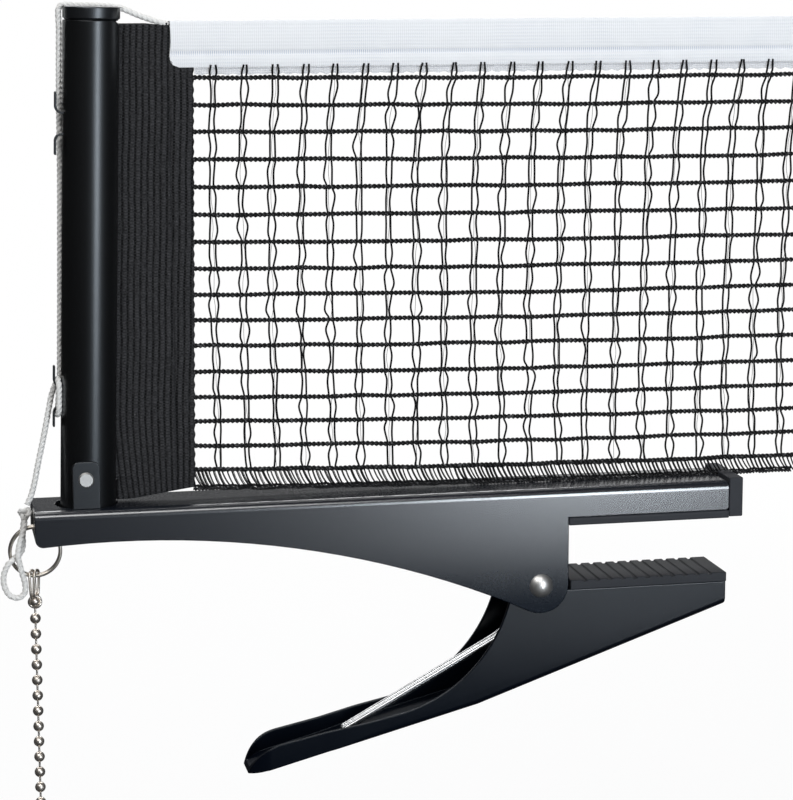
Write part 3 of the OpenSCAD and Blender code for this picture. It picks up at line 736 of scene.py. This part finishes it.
def makeCoupling():
    # two wire loops that hang on the ring, and an eye of wire round the first bead
    c, runs = chainSet, []
    x, low, high = c["x"], c["coupling"] + 1.2, c["loopTop"]
    half, turn = c["loopHalf"], radians(c["loopTurn"])
    for side in (-1, 1):
        loop = []
        for a in turns(64):
            across = half * cos(a)
            z = (high - half if sin(a) > 0 else low + half) + half * sin(a)
            lean = side * mix(*c["loopLean"], (high - z) / (high - low))
            loop.append(Vector((x + lean + across * sin(turn), across * cos(turn), z)))
        runs.append((loop, {"radius": c["loopWire"] / 2, "sides": 12, "closed": True}))
    eye = [Vector((x + c["eye"] * cos(a), 0.3 * sin(2 * a), c["coupling"] + c["eye"] * sin(a)))
           for a in turns(48)]
    runs.append((eye, {"radius": c["eyeWire"], "sides": 12, "closed": True}))
    wires = tubes("coupling_wires", runs)
    bead = makeBead()
    bead.location = point(x, 0, c["coupling"])
    bead.scale *= c["eyeBead"]
    applyPlace(bead)
    coupling = joinPieces([wires, bead], "chain_coupling_eye")
    finishPiece(coupling, "chain_top", "chain", ["chain_coupling"], 50)


def makeClasp():
    c = chainSet
    start = c["first"] - (c["upper"] + c["lower"]) * c["pitch"]
    top = start + c["bead"] / 2 + 0.13
    clasp = primitive(bpy.ops.mesh.primitive_cylinder_add, vertices=32, radius=c["claspBlank"] * mm,
                      depth=c["clasp"] * mm, location=point(c["x"], 0, top - c["clasp"] / 2))
    applyPlace(clasp)
    bpy.ops.object.mode_set(mode="EDIT")
    for share in c["claspCuts"]:
        bpy.ops.mesh.select_all(action="SELECT")
        bpy.ops.mesh.bisect(plane_co=point(0, 0, top - c["clasp"] * share), plane_no=(0, 0, 1))
    mesh = bmesh.from_edit_mesh(clasp.data)
    for v in mesh.verts:
        share = (top * mm - v.co.z) / (c["clasp"] * mm)
        wide = next(size for end, size in c["claspWide"].items() if min(share, 1 - share) <= end)
        v.co.x = c["x"] * mm + (v.co.x - c["x"] * mm) * wide / c["claspBlank"]
        v.co.y *= wide / c["claspBlank"]
    bmesh.update_edit_mesh(clasp.data)
    bpy.ops.object.mode_set(mode="OBJECT")
    clasp.name = clasp.data.name = "chain_end_clasp"
    finishPiece(clasp, "chain_low", "chain", ["chain_end"], 50)


makeSpring()
makeRing()
makeChain()
makeCoupling()
makeClasp()
print("ring and chain made")


netSet = {
    "rowTop": (136.0, 134.7),  # height of the first row at the left and at the right
    "rowFoot": (20.05, 16.5),
    "rowSag": (0.3, 0.85),  # how far the first and the last row hang through
    "rowShares": (0, 0.068, 0.136, 0.205, 0.274, 0.344, 0.413, 0.481, 0.548, 0.613, 0.679, 0.747, 0.812, 0.875,
                  0.938, 1),  # the rows draw together towards the foot
    "rowWidth": 1.6,
    "rowLay": 2.74,
    "columns": (-131.3, -122.6, -113.8, -105.1, -96.6, -87.7, -78.8, -70.2, -61.5, -52.5, -43.7, -34.9, -25.7,
                -16.9, -7.6, 1.4, 10.1, 19.4, 28.2, 37, 46.2),
    "headDrift": 2.5,  # the columns' heads are pulled to the right, the more the further right
    "footDrift": 1.2,  # and the left ones' feet too
    "thread": 0.6,
    "threadTop": 139.6,  # under the tape
    "pair": 1.55,  # between the two threads of a column
    "hairs": 0.6,  # share of the meshes with a loose hair
    "hemDrop": (5.9, 4.9),  # from the last row to the hem's lower cord
    "hemPitch": 1.3,
    "bandFoot": (-137.95, 14.7),
    "bandHead": (-136.25, 139.0),
}


def bandEdge(z):
    (x0, z0), (x1, z1) = netSet["bandFoot"], netSet["bandHead"]
    return mix(x0, x1, (z - z0) / (z1 - z0))


def rowHeight(k, share):
    n = netSet
    t = n["rowShares"][k]
    straight = mix(mix(n["rowTop"][0], n["rowFoot"][0], t), mix(n["rowTop"][1], n["rowFoot"][1], t), share)
    return straight - mix(*n["rowSag"], t) * sin(pi * min(1, max(0, share)))


def columnDrift(k, share):
    n = netSet
    head = n["headDrift"] * min(1, 0.25 + 2.2 * share) * exp(-(k / 1.7) ** 1.3)
    foot = n["footDrift"] * (1 - share) ** 4 * (k / 15) ** 2
    return head + foot - 0.8 * share * sin(pi * min(1, max(0, (k - 6) / 9)))


def makeNet():
    n, chance = netSet, random.Random(7)
    vary = chance.uniform
    count = len(n["rowShares"])
    runs = []
    for k in range(count):
        z0 = rowHeight(k, 0)
        start = bandEdge(z0) - 0.6
        points = []
        for column in n["columns"]:
            share = (column - start) / (netEnd - start)
            points.append((column, 0, rowHeight(k, share) + vary(-0.2, 0.2)))
        points = [(start, 0, z0)] + points + [(netEnd + 0.4, 0, rowHeight(k, 1))]
        runs.append((smoothRoute(points, 0.32), {"radius": n["rowWidth"] / 2, "sides": 10, "lobes": 2,
                                                "depth": 0.72, "pitch": n["rowLay"]}))
    rows = tubes("net_rows", runs)
    finishPiece(rows, "frame", "netCord", ["net_mesh"], 60)

    runs = []
    for column in n["columns"]:
        wander, nodes = 0.0, []
        share = (column - bandEdge(80)) / (netEnd - bandEdge(80))
        for k in range(count):
            wander = wander * 0.5 + vary(-0.32, 0.32)
            nodes.append((column + columnDrift(k, share) + wander, rowHeight(k, share),
                          n["pair"] * vary(0.7, 1.12)))
        for side in (-1, 1):
            x, z, pair = nodes[0]
            points = [(x + side * pair * 0.42 + vary(-0.2, 0.4), -0.75, n["threadTop"]),
                      (x + side * pair * 0.6, -0.5, z + 1.6)]
            for k, (middle, z, pair) in enumerate(nodes):
                x = middle + side * pair / 2
                points += [(x, 0.42, z + 0.5), (x + 0.05 * side, 0.42, z - 0.5)]
                if k + 1 < len(nodes):
                    nextMiddle, low, nextPair = nodes[k + 1]
                    kink = vary(-0.2, 0.65) * side + vary(-0.6, 0.4)
                    down = vary(0.36, 0.66)
                    points.append((mix(x, nextMiddle + side * nextPair / 2, down) + kink,
                                   vary(-0.15, 0.3), mix(z, low, down)))
            runs.append((smoothRoute(points, 0.6), {"radius": n["thread"] / 2, "sides": 6}))
        for k in range(count - 1):
            if chance.random() < n["hairs"]:
                a, b = nodes[k], nodes[k + 1]
                x = mix(a[0], b[0], 0.5) + vary(-0.5, 0.5)
                hair = [(a[0] + vary(-0.4, 0.4), 0.3, a[1]), (x, 0.2, (a[1] + b[1]) / 2),
                        (b[0] + vary(-0.4, 0.4), 0.3, b[1])]
                runs.append((smoothRoute(hair, 1.2), {"radius": 0.08, "sides": 4}))
    threads = tubes("net_threads", runs)
    finishPiece(threads, "frame", "net", (), 60)
    print("net made:", len(rows.data.polygons) + len(threads.data.polygons), "faces")
    return rows


def makeHem():
    n, chance = netSet, random.Random(11)
    vary = chance.uniform
    last = len(n["rowShares"]) - 1
    left, long = bandEdge(20), netEnd - bandEdge(20)
    cords, stitches = [], []

    def highCord(x):
        return rowHeight(last, (x - left) / long)

    def lowCord(x):
        return highCord(x) - mix(*n["hemDrop"], (x - left) / long)

    def crochet(height, y, wide, step, lay):
        points = [(x, y + vary(-0.15, 0.15), height(x) + vary(-0.2, 0.2))
                  for x in (left - 0.6 + i * step for i in range(int((long + 0.9) / step)))]
        cords.append((smoothRoute(points, 0.3), {"radius": wide / 2, "sides": 8, "lobes": 2, "depth": 0.7,
                                                 "pitch": lay}))

    crochet(lowCord, -0.35, 1.15, 1.9, 2.1)
    crochet(lambda x: lowCord(x) + 0.65, 0.35, 1.05, 1.3, 1.9)
    crochet(lambda x: highCord(x) - 0.4, 0.5, 1.1, 1.5, 2.0)
    x = left - 0.4
    while x < netEnd - 0.9:
        high, low = highCord(x) - 0.1, lowCord(x) + 0.2
        over = min(vary(2.1, 3.1), netEnd - x - 0.2)
        y = vary(-0.4, 0)
        shape = ((0, 0.3, 0), (0.08, y, 0.2), (0.4, y - 0.1, 0.58), (0.8, y, 0.9))
        points = [Vector((x + far * over, side, mix(high, low, down))) for far, side, down in shape]
        points.append(Vector((x + 1.05 * over, 0.2, low - 0.1)))
        stitches.append((smoothRoute(points, 0.5), {"radius": vary(0.21, 0.29), "sides": 6}))
        if chance.random() < 0.5:
            points = [p + Vector((0.45, 0.5, 0)) for p in points[:4]]
            stitches.append((smoothRoute(points, 0.7), {"radius": 0.11, "sides": 5}))
        x += n["hemPitch"] * vary(0.8, 1.2)
    hem = tubes("net_hem_cords", cords)
    finishPiece(hem, "frame", "netCord", ["net_hem"], 60)
    finishPiece(tubes("net_hem_stitches", stitches), "frame", "net", (), 60)


netRows = makeNet()
makeHem()


tapeSet = {
    "top": 152.5,
    "foot": 139.02,
    "left": -142.94,
    "half": 0.8,  # half of the folded tape's thickness
    "cloth": 0.3,
    "corner": 3.0,  # radius of the rounded lower corner
    "step": 0.8,
    "heights": (0, 0.7, 1.5, 2.4, 3.2, 3.8, 4.1, 4.5, 5.2, 6.4, 7.8, 9.2, 10.6, 11.8, 12.6),
    "seam": 4.1,  # a line of stitches at this height pulls the tape in
    "fold": 0.75,  # radius of the folded top
    "gauze": (139.6, 138.6, 137.6, 136.75),  # heights of the fringe's rows of points
    "gauzeThick": 0.12,
}


def tapeLeft(z):
    # the tape's left end: it leans a little and turns in a round corner at the bottom
    t = tapeSet
    x = t["left"] - 0.5 * (t["top"] - z) / (t["top"] - t["foot"]) + 0.35 * sin((z - t["foot"]) / 13.5 * pi)
    low = t["foot"] + t["corner"]
    if z < low:
        x += t["corner"] - sqrt(max(0.0, t["corner"] ** 2 - (low - z) ** 2))
    return x


def makeTape():
    t, chance = tapeSet, random.Random(3)
    waves = [(chance.uniform(0.03, 0.12), chance.uniform(0, 6.28), chance.uniform(0.05, 0.14)) for _ in range(7)]
    seam, high = t["seam"], t["top"] - t["foot"]
    outline = []
    for h in t["heights"]:
        pull = 0.12 * exp(-((h - seam) / 0.5) ** 2)
        bulge = 0.22 * sin(min(1, h / 3.9) * pi) if h < seam else 0.3 * sin((h - seam) / 9 * pi)
        outline.append((-(t["half"] - 0.24 + bulge - pull), h))
    for degrees in (25, 50, 72, 90):
        a = radians(degrees)
        outline.append((-(t["half"] - 0.12) * cos(a), high - t["fold"] + t["fold"] * sin(a)))
    outline += [(-y, h) for y, h in reversed(outline[:-1])]
    verts = []
    columns = int((netEnd - t["left"]) / t["step"]) + 1
    for i in range(columns + 1):
        for y, h in outline:
            z = t["foot"] + h
            x = mix(tapeLeft(z), netEnd, i / columns)
            sway = sum(size * sin(x * often + start) for size, start, often in waves) * 0.5
            pucker = 0.1 * sin(x / 1.9 + 1.3 * sin(x / 7)) * exp(-((h - seam) / 2.0) ** 2)
            side = -1 if y < 0 else 1
            verts.append(point(x, y + 0.35 * sway * (h / high) + side * pucker, z + 0.12 * sway - 0.1))
    tape = newObject("net_tape_folded", verts, gridFaces(columns, len(outline)))
    thicken(tape, t["cloth"], -1)
    finishPiece(tape, "frame", "tape", ["net_tape"], 70)

    # a strip of gauze hangs out under the tape, its lower edge a little ragged
    verts = []
    left, last = bandEdge(netSet["bandHead"][1]), len(t["gauze"]) - 1
    count = int(netEnd - left)
    for i in range(count + 1):
        x = mix(left + 0.3, netEnd, i / count)
        for k, z in enumerate(t["gauze"]):
            ragged = 0.22 * sin(x * 1.7) + 0.12 * sin(x * 4.1) if k == last else 0
            verts.append(point(x, 0.12 + 0.12 * sin(x * 0.9 + k), z + ragged))
    faces = [(a, d, c, b) for a, b, c, d in gridFaces(count, last + 1)]
    fringe = newObject("tape_fringe", verts, faces)
    thicken(fringe, t["gauzeThick"], 0)
    finishPiece(fringe, "frame", "fringe", (), 70)
    print("tape made")


bandSet = {
    "rib": 1.86,  # from rib to rib
    "ribDepth": 0.3,
    "stitch": 0.86,  # from stitch to stitch up a rib
    "stitchDepth": 0.09,
    "half": 0.6,  # half of the band's thickness between its ribs
    "sleeve": 3.4,  # outer radius where the knit goes round a rod
    "across": 0.33,  # size of a face
    "up": 0.22,
    "middle": 60,  # height at which the faces are counted
    "foot": ((-159.5, 12.1), (-138, 14.7)),  # the lower edge is level up to the first place, then rises
    "inTube": 2.8,  # left edge from the tube's axis, inside its slot
    "slotFoot": 18.2,
    "leanUnder": 36,  # the ribs lean under this height
    "farWide": 14,
    "farRod": 9,
}


def bandGrid(name, leftAt, rightAt, footAt, topAt, phaseAt, rodX=None):
    # a closed sheet of ribbed knit: columns across, rows up, both faces modelled
    b = bandSet
    left, right = leftAt(b["middle"]), rightAt(b["middle"])
    columns = int((right - left) / b["across"])
    rows = int((topAt(left) - footAt(left)) / b["up"])
    verts, uvs, faces = [], [], []
    for j in range(rows + 1):
        for i in range(columns + 1):
            u = i / columns
            x = mix(left, right, u)
            z = mix(footAt(x), topAt(x), j / rows)
            x = mix(leftAt(z), rightAt(z), u)
            phase = phaseAt(x, z)
            row = z / b["stitch"]
            across = abs(phase % 1 - 0.5) + 0.03 * cos(2 * pi * row)
            rib = 1 - smoothStep((across - 0.2) / 0.26)
            stitch = -cos(2 * pi * (row + 0.7 * across))
            edge = min(1.0, min(i, columns - i) / 2, min(j, rows - j) / 2)
            half = b["half"]
            if rodX is not None:
                half += sqrt(max(0.0, (b["sleeve"] - half) ** 2 - (x - rodX) ** 2))
            far = half * (0.35 + 0.65 * edge) + (b["ribDepth"] * rib + b["stitchDepth"] * stitch * rib) * edge
            sway = 0.16 * sin(z / 11 + x * 0.3) + 0.1 * sin(z / 4.3 + x)
            verts += [point(x, -far + sway * edge, z), point(x, far + sway * edge, z)]
            uvs += [(phase, row)] * 2
    # each place has its front point and after it its back point
    up, last = 2 * (columns + 1), 2 * columns
    for j in range(rows):
        for a in range(j * up, j * up + last, 2):
            faces += [(a, a + 2, a + 2 + up, a + up), (a + 1, a + 1 + up, a + 3 + up, a + 3)]
    for a in range(0, rows * up, up):
        c = a + last
        faces += [(a, a + up, a + up + 1, a + 1), (c, c + 1, c + up + 1, c + up)]
    for a in range(0, last, 2):
        c = a + rows * up
        faces += [(a, a + 1, a + 3, a + 2), (c, c + 2, c + 3, c + 1)]
    return newObject(name, verts, faces, uvs)


def bandFoot(x):
    (x0, z0), (x1, z1) = bandSet["foot"]
    return mix(z0, z1, max(0.0, (x - x0) / (x1 - x0)))


def bandLeft(z):
    # inside the tube's slot, and beside the tube under the slot
    inside, beside = postAxis(z) + bandSet["inTube"], postAxis(z) + postRadius + 0.03
    return mix(beside, inside, smoothStep((z - bandSet["slotFoot"]) / 1.2))


def ribPhase(x, z):
    # the ribs lean to the right at the foot, where the knit is drawn together
    low = max(0.0, (bandSet["leanUnder"] - z) / 24)
    lean = 3.4 * low ** 1.6 * max(0.0, (-138 - x) / 24)
    return (x - postTilt * (z - bandSet["middle"]) - lean + 0.12 * sin(z / 5.3) + 200) / bandSet["rib"]


def makeBand():
    joinX = tapeSet["left"] - 0.3

    def topMain(x):
        return 151.7 - 0.35 * smoothStep((x + 152) / 5) + 0.9 * smoothStep((x + 146.5) / 3)

    def mainRight(z):
        if z < tapeSet["foot"] + 3.2:
            return joinX - 0.1
        return tapeLeft(z) - 0.12

    main = bandGrid("net_band_knit", bandLeft, mainRight, bandFoot, topMain, ribPhase)

    def sideTop(x):
        t = (x - joinX) / 3.3
        return 138.9 + 3.0 * max(0.0, 1 - t) ** 2.2

    side = bandGrid("net_band_side", lambda z: joinX - 0.35, lambda z: bandEdge(z) + 0.15 * sin(z * 2.1),
                    bandFoot, sideTop, ribPhase)
    for obj in (main, side):
        finishPiece(obj, "frame", "knit", (), 60)
    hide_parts("net_band")
    far = bandGrid("far_band_knit", lambda z: netEnd + 0.1, lambda z: netEnd + bandSet["farWide"],
                   lambda x: 12.4, lambda x: 151.8, lambda x, z: (x + 200) / bandSet["rib"],
                   rodX=netEnd + bandSet["farRod"])
    finishPiece(far, "frame", "knit", ["far_band"], 60)
    print("bands made:", len(main.data.polygons) * 2, "triangles")


makeTape()
makeBand()


softSet = {
    "flatWithin": 0.6,  # degrees between facets of one flat face
    "sharpOver": 28,  # edges over this angle are rounded
    "segments": 2,
}


def softened(node, width):
    # a merged copy of a CAD piece, with its sharp edges rounded
    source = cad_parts[node].data
    copy = newObject(node + "_rounded", [v.co.copy() for v in source.vertices],
                     [tuple(p.vertices) for p in source.polygons])
    mesh = bmesh.new()
    mesh.from_mesh(copy.data)
    bmesh.ops.remove_doubles(mesh, verts=mesh.verts, dist=0.002 * mm)
    bmesh.ops.dissolve_limit(mesh, angle_limit=radians(softSet["flatWithin"]), verts=mesh.verts,
                             edges=mesh.edges)
    mesh.to_mesh(copy.data)
    mesh.free()
    rounding = copy.modifiers.new("round", "BEVEL")
    rounding.width, rounding.segments = width * mm, softSet["segments"]
    rounding.limit_method, rounding.angle_limit = "ANGLE", radians(softSet["sharpOver"])
    rounding.use_clamp_overlap = False
    applyModifiers(copy)
    return copy


def flatNormals(obj):
    # the wide faces keep their own normal, so that only the rounded edges shade as round
    weigh = obj.modifiers.new("weigh", "WEIGHTED_NORMAL")
    weigh.keep_sharp, weigh.weight = True, 80
    applyModifiers(obj)


for node, body, width, look, slotName in (
        ("arm_channel", "frame", 0.3, "steel", "black_steel"),
        ("lever_channel", "lever", 0.35, "lever", "black_steel"),
        ("post_bracket", "frame", 0.25, "bracket", "black_steel"),
        ("post_tube", "frame", 0.2, "post", "post_black"),
        ("post_cap", "frame", 0.25, "cap", "cap_black"),
        ("upper_jaw_pad", "frame", 0.35, "pad", "pad_grey"),
        ("lower_jaw_pad", "lever", 0.3, "pad", "pad_grey"),
        ("upper_hooks", "frame", 0.12, "post", "post_black"),
        ("lower_hooks", "frame", 0.12, "post", "post_black")):
    flatNormals(finishPiece(softened(node, width), body, look, [node], 50))
for node, look in (("pivot_rivet", "nickel"), ("foot_rivet", "nickel"), ("pivot_bush", "bush"), ("net_rod", "rod"),
                   ("far_rod", "rod")):
    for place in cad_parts[node].material_slots:
        place.material = looks[look]
print("metal and rubber pieces finished")


stageSet = {
    "floor": -175,  # its height, mm
    "size": 60,  # metres
    "middle": (-0.1, 0.1),  # of the shadow, metres
    "reach": (0.25, 0.9),  # the shadow fades out between these distances, metres
    "tone": 0.4,  # the floor as it lights the clamp
    "inGloss": 0.03,  # and as the clamp's gloss shows it
    "shadow": 0.82,  # 1 hides the clamp's shadow, 0 shows it in full
}


def grey(level):
    return colour([level] * 3)


def makeStage():
    floor = primitive(bpy.ops.mesh.primitive_plane_add, size=stageSet["size"],
                      location=point(0, 0, stageSet["floor"]))
    floor.name = "floor"
    applyPlace(floor)
    look = Look("paleFloor", {"Roughness": 0.9, "Specular IOR Level": 0.0})
    seen = look.node("LightPath", out="Is Camera Ray")
    x, y = (look.axis(name) - place for name, place in zip("XY", stageSet["middle"]))
    far = x.math("SQRT", x * x + y * y)
    white = far.between(*stageSet["reach"]) * (1 - stageSet["shadow"]) + stageSet["shadow"]
    glossy = look.node("LightPath", out="Is Glossy Ray")
    tone = look.blend(glossy, grey(stageSet["tone"]), grey(stageSet["inGloss"]))
    tone = look.blend(seen, tone, grey(0.9))
    look.link({"Base Color": tone})
    glow = look.node("Emission", {}, {"Color": grey(1), "Strength": 1.0})
    both = look.node("MixShader", {}, {0: seen * white, 1: Value(look, look.shader.outputs[0]), 2: glow})
    look.tree.links.new(both.socket, look.tree.nodes["Material Output"].inputs["Surface"])
    floor.data.materials.append(look.material)


lightSet = {
    "key": {"place": (0.31, -1.13, 0.1), "size": (0.19, 0.7), "power": 6.9, "tint": (0.88, 0.94, 1)},
    "high": {"place": (-0.38, -0.75, 0.98), "size": (1.1, 0.35), "power": 6.8, "tint": (1, 0.99, 0.98)},
    "top": {"place": (-0.1, 0.25, 1.1), "size": (0.9, 0.5), "power": 3, "tint": (1, 0.99, 0.97)},
    "back": {"place": (-0.2, 1.0, 0.95), "size": (1.2, 0.45), "power": 8, "tint": (1, 1, 1)},
    "aim": (-0.06, 0, 0.02),
    "skyHigh": 0.34,  # strength of the world overhead, level and below
    "skyLevel": 0.22,
    "skyLow": 0.18,
    "inGloss": 0.13,  # share of it that shines in gloss
    "backdrop": (0.05, 1.2),  # what shines in gloss from behind the clamp, at the left and at the right
}


def areaLight(name, place, size, power, tint):
    data = bpy.data.lights.new(name, "AREA")
    data.shape = "RECTANGLE"
    data.size, data.size_y = size
    data.energy, data.color = power, tint
    obj = addObject(name, data)
    obj.location = place
    obj.rotation_euler = (Vector(lightSet["aim"]) - Vector(place)).to_track_quat("-Z", "Y").to_euler()


def makeLights():
    for name in ("key", "high", "top", "back"):
        areaLight(name, **lightSet[name])
    world = bpy.context.scene.world or bpy.data.worlds.new("studio")
    bpy.context.scene.world = world
    world.use_nodes = True
    sky = Look.__new__(Look)
    sky.tree = world.node_tree
    sky.tree.nodes.clear()
    seen = sky.node("LightPath", out="Is Camera Ray")
    glossy = sky.node("LightPath", out="Is Glossy Ray")
    where = sky.node("TexCoord", out="Generated")
    side, depth, up = (sky.node("SeparateXYZ", {}, {0: where}, out=name) for name in "XYZ")
    strength = up.between(0.0, 0.8) * (lightSet["skyHigh"] - lightSet["skyLevel"])
    strength = strength + up.between(-0.5, 0.05) * (lightSet["skyLevel"] - lightSet["skyLow"]) + lightSet["skyLow"]
    strength = strength * (1 - glossy * (1 - lightSet["inGloss"]))
    soft = sky.node("Background", {}, {"Color": colour((0.94, 0.965, 1)), "Strength": strength})
    white = sky.node("Background", {}, {"Color": grey(1), "Strength": 1.0})
    behind, right = depth.between(0.84, 0.93), side.between(0.2, 0.36)
    dim, bright = lightSet["backdrop"]
    shown = seen + glossy * behind * (1 - seen) * (right * (bright - dim) + dim)
    both = sky.node("MixShader", {}, {0: shown, 1: soft, 2: white})
    end = sky.tree.nodes.new("ShaderNodeOutputWorld")
    sky.tree.links.new(both.socket, end.inputs["Surface"])
    bpy.context.scene.view_settings.view_transform = "Standard"


makeStage()
makeLights()
print("stage and lights ready")
